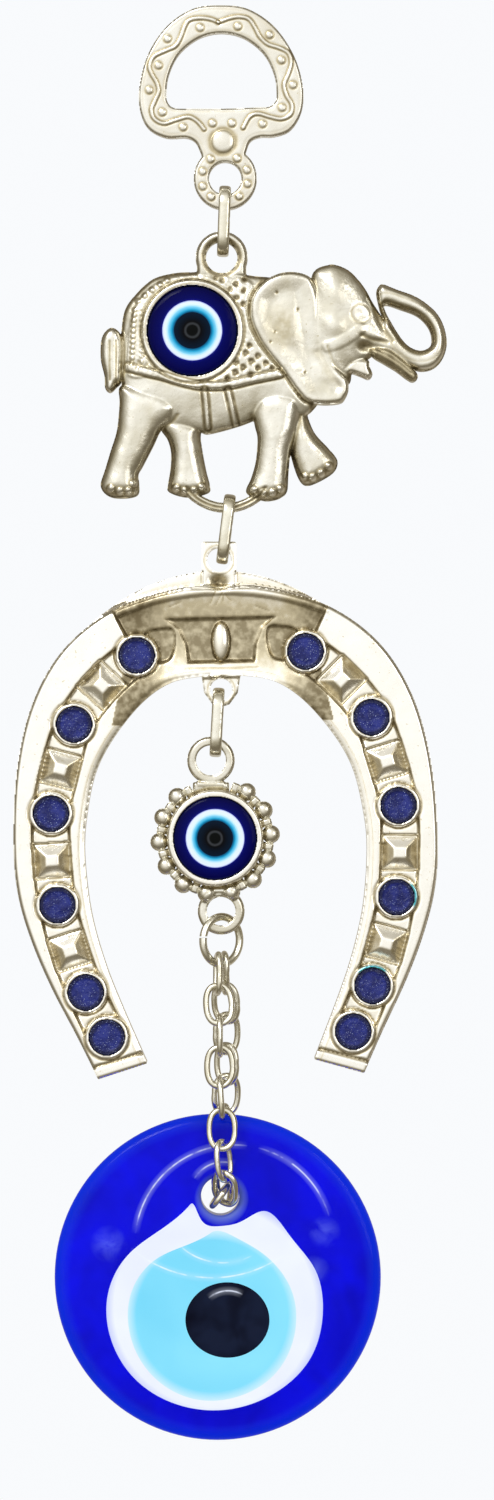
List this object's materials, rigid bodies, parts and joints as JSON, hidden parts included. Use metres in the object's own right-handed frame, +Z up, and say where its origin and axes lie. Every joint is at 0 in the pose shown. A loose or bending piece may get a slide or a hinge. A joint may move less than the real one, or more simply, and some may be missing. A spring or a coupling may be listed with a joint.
{
  "type": "evil eye wall hanging",
  "caption": "Hanging evil eye charm: a hanger plate, cast elephant, horseshoe and eye medallion on rings, and a double chain carrying a glass eye disc.",
  "frame": {"origin": "top of the hanger's opening, where the nail sits", "axes": "+Z up along the hanging ornament, +X to the viewer's right, -Y out of the front"},
  "size_m": [0.0666, 0.014, 0.2207],
  "materials": {
    "cast_silver": "antiqued plated casting",
    "link_silver": "polished plated wire",
    "resin_navy": "gloss",
    "resin_white": "gloss",
    "resin_cyan": "gloss",
    "resin_black": "gloss",
    "enamel_blue": "glossy glitter enamel",
    "glass_cobalt": "gloss",
    "glass_milk": "gloss",
    "glass_sky": "gloss",
    "glass_dark": "gloss"
  },
  "bodies": {
    "hanger": {"hanger": "cast_silver"},
    "upper_ring": {"upper_ring": "link_silver"},
    "elephant": {"elephant": "cast_silver", "elephant_eye_blue": "resin_navy", "elephant_eye_white": "resin_white", "elephant_eye_light_blue": "resin_cyan", "elephant_eye_pupil": "resin_black"},
    "middle_ring": {"middle_ring": "link_silver"},
    "horseshoe": {"horseshoe": "cast_silver", "enamel_left_1": "enamel_blue", "enamel_left_2": "enamel_blue", "enamel_left_3": "enamel_blue", "enamel_left_4": "enamel_blue", "enamel_left_5": "enamel_blue", "enamel_left_6": "enamel_blue", "enamel_right_1": "enamel_blue", "enamel_right_2": "enamel_blue", "enamel_right_3": "enamel_blue", "enamel_right_4": "enamel_blue", "enamel_right_5": "enamel_blue", "enamel_right_6": "enamel_blue"},
    "lower_ring": {"lower_ring": "link_silver"},
    "medallion": {"medallion": "cast_silver", "medallion_eye_blue": "resin_navy", "medallion_eye_white": "resin_white", "medallion_eye_light_blue": "resin_cyan", "medallion_eye_pupil": "resin_black"},
    "chain_ring": {"chain_ring": "link_silver"},
    "front_link_1": {"front_link_1": "link_silver"},
    "front_link_2": {"front_link_2": "link_silver"},
    "front_link_3": {"front_link_3": "link_silver"},
    "front_link_4": {"front_link_4": "link_silver"},
    "front_link_5": {"front_link_5": "link_silver"},
    "front_link_6": {"front_link_6": "link_silver"},
    "front_link_7": {"front_link_7": "link_silver"},
    "front_link_8": {"front_link_8": "link_silver"},
    "back_link_1": {"back_link_1": "link_silver"},
    "back_link_2": {"back_link_2": "link_silver"},
    "back_link_3": {"back_link_3": "link_silver"},
    "back_link_4": {"back_link_4": "link_silver"},
    "back_link_5": {"back_link_5": "link_silver"},
    "back_link_6": {"back_link_6": "link_silver"},
    "back_link_7": {"back_link_7": "link_silver"},
    "back_link_8": {"back_link_8": "link_silver"},
    "hole_link": {"hole_link": "link_silver"},
    "glass_eye": {"glass_body": "glass_cobalt", "glass_white": "glass_milk", "glass_light_blue": "glass_sky", "glass_pupil": "glass_dark"}
  },
  "joints": [
    {"name": "upper_ring_swing", "type": "hinge", "parent": "hanger", "child": "upper_ring", "pos_m": [0.00066, 0, -0.02232], "axis": [0, 1, 0], "range_deg": [-25, 25]},
    {"name": "elephant_tip", "type": "hinge", "parent": "upper_ring", "child": "elephant", "pos_m": [0.00037, 0, -0.03125], "axis": [1, 0, 0], "range_deg": [-45, 45]},
    {"name": "middle_ring_slide", "type": "hinge", "parent": "elephant", "child": "middle_ring", "pos_m": [0.00077, 0, -0.0654], "axis": [0, -1, 0], "range_deg": [-12, 10]},
    {"name": "horseshoe_tip", "type": "hinge", "parent": "middle_ring", "child": "horseshoe", "pos_m": [0.00049, 0, -0.07854], "axis": [-1, 0, 0], "range_deg": [-45, 45]},
    {"name": "lower_ring_swing", "type": "hinge", "parent": "horseshoe", "child": "lower_ring", "pos_m": [0.00003, 0, -0.10093], "axis": [0, 1, 0], "range_deg": [-6, 6]},
    {"name": "medallion_tip", "type": "hinge", "parent": "lower_ring", "child": "medallion", "pos_m": [-0.00073, 0, -0.1082], "axis": [1, 0, 0], "range_deg": [-45, 45]},
    {"name": "chain_ring_swing", "type": "hinge", "parent": "medallion", "child": "chain_ring", "pos_m": [0.00003, 0, -0.135], "axis": [0, -1, 0], "range_deg": [-10, 10]},
    {"name": "front_link_1_swing", "type": "hinge", "parent": "chain_ring", "child": "front_link_1", "pos_m": [-0.00048, -0.00046, -0.14224], "axis": [0, 1, 0], "range_deg": [-8, 8]},
    {"name": "front_link_2_swing", "type": "hinge", "parent": "front_link_1", "child": "front_link_2", "pos_m": [-0.0005, -0.00177, -0.14689], "axis": [0, -1, 0], "range_deg": [-8, 8]},
    {"name": "front_link_3_swing", "type": "hinge", "parent": "front_link_2", "child": "front_link_3", "pos_m": [-0.00014, -0.00269, -0.15158], "axis": [0, 1, 0], "range_deg": [-8, 8]},
    {"name": "front_link_4_swing", "type": "hinge", "parent": "front_link_3", "child": "front_link_4", "pos_m": [-0.00016, -0.00326, -0.15633], "axis": [0, -1, 0], "range_deg": [-8, 8]},
    {"name": "front_link_5_swing", "type": "hinge", "parent": "front_link_4", "child": "front_link_5", "pos_m": [-0.00018, -0.00366, -0.16111], "axis": [0, 1, 0], "range_deg": [-8, 8]},
    {"name": "front_link_6_swing", "type": "hinge", "parent": "front_link_5", "child": "front_link_6", "pos_m": [0.0002, -0.00416, -0.16586], "axis": [0, -1, 0], "range_deg": [-8, 8]},
    {"name": "front_link_7_swing", "type": "hinge", "parent": "front_link_6", "child": "front_link_7", "pos_m": [0.00015, -0.00488, -0.1706], "axis": [0, 1, 0], "range_deg": [-8, 8]},
    {"name": "front_link_8_swing", "type": "hinge", "parent": "front_link_7", "child": "front_link_8", "pos_m": [0.00071, -0.005, -0.17538], "axis": [0, -1, 0], "range_deg": [-8, 8]},
    {"name": "hole_link_swing", "type": "hinge", "parent": "front_link_8", "child": "hole_link", "pos_m": [-0.00015, 0, -0.17875], "axis": [0, 1, 0], "range_deg": [-10, 10]},
    {"name": "glass_eye_swing", "type": "hinge", "parent": "hole_link", "child": "glass_eye", "pos_m": [-0.00012, 0, -0.1787], "axis": [0, -1, 0], "range_deg": [-45, 45]},
    {"name": "back_link_1_swing", "type": "hinge", "parent": "chain_ring", "child": "back_link_1", "pos_m": [0.0006, 0.00046, -0.14224], "axis": [0, 1, 0], "range_deg": [-8, 8]},
    {"name": "back_link_2_swing", "type": "hinge", "parent": "back_link_1", "child": "back_link_2", "pos_m": [0.00059, 0.00177, -0.14689], "axis": [0, -1, 0], "range_deg": [-8, 8]},
    {"name": "back_link_3_swing", "type": "hinge", "parent": "back_link_2", "child": "back_link_3", "pos_m": [0.00086, 0.00269, -0.15158], "axis": [0, 1, 0], "range_deg": [-8, 8]},
    {"name": "back_link_4_swing", "type": "hinge", "parent": "back_link_3", "child": "back_link_4", "pos_m": [0.00085, 0.00326, -0.15634], "axis": [0, -1, 0], "range_deg": [-8, 8]},
    {"name": "back_link_5_swing", "type": "hinge", "parent": "back_link_4", "child": "back_link_5", "pos_m": [0.00086, 0.00366, -0.16111], "axis": [0, 1, 0], "range_deg": [-8, 8]},
    {"name": "back_link_6_swing", "type": "hinge", "parent": "back_link_5", "child": "back_link_6", "pos_m": [0.00067, 0.00416, -0.16587], "axis": [0, -1, 0], "range_deg": [-8, 8]},
    {"name": "back_link_7_swing", "type": "hinge", "parent": "back_link_6", "child": "back_link_7", "pos_m": [0.0007, 0.00488, -0.17061], "axis": [0, 1, 0], "range_deg": [-8, 8]},
    {"name": "back_link_8_swing", "type": "hinge", "parent": "back_link_7", "child": "back_link_8", "pos_m": [0.00033, 0.00499, -0.17541], "axis": [0, -1, 0], "range_deg": [-8, 8]}
  ],
  "couplings": [
    {"joint": "back_link_1_swing", "follows": "front_link_1_swing", "ratio": 1},
    {"joint": "back_link_2_swing", "follows": "front_link_2_swing", "ratio": 1},
    {"joint": "back_link_3_swing", "follows": "front_link_3_swing", "ratio": 1},
    {"joint": "back_link_4_swing", "follows": "front_link_4_swing", "ratio": 1},
    {"joint": "back_link_5_swing", "follows": "front_link_5_swing", "ratio": 1},
    {"joint": "back_link_6_swing", "follows": "front_link_6_swing", "ratio": 1},
    {"joint": "back_link_7_swing", "follows": "front_link_7_swing", "ratio": 1},
    {"joint": "back_link_8_swing", "follows": "front_link_8_swing", "ratio": 1}
  ]
}
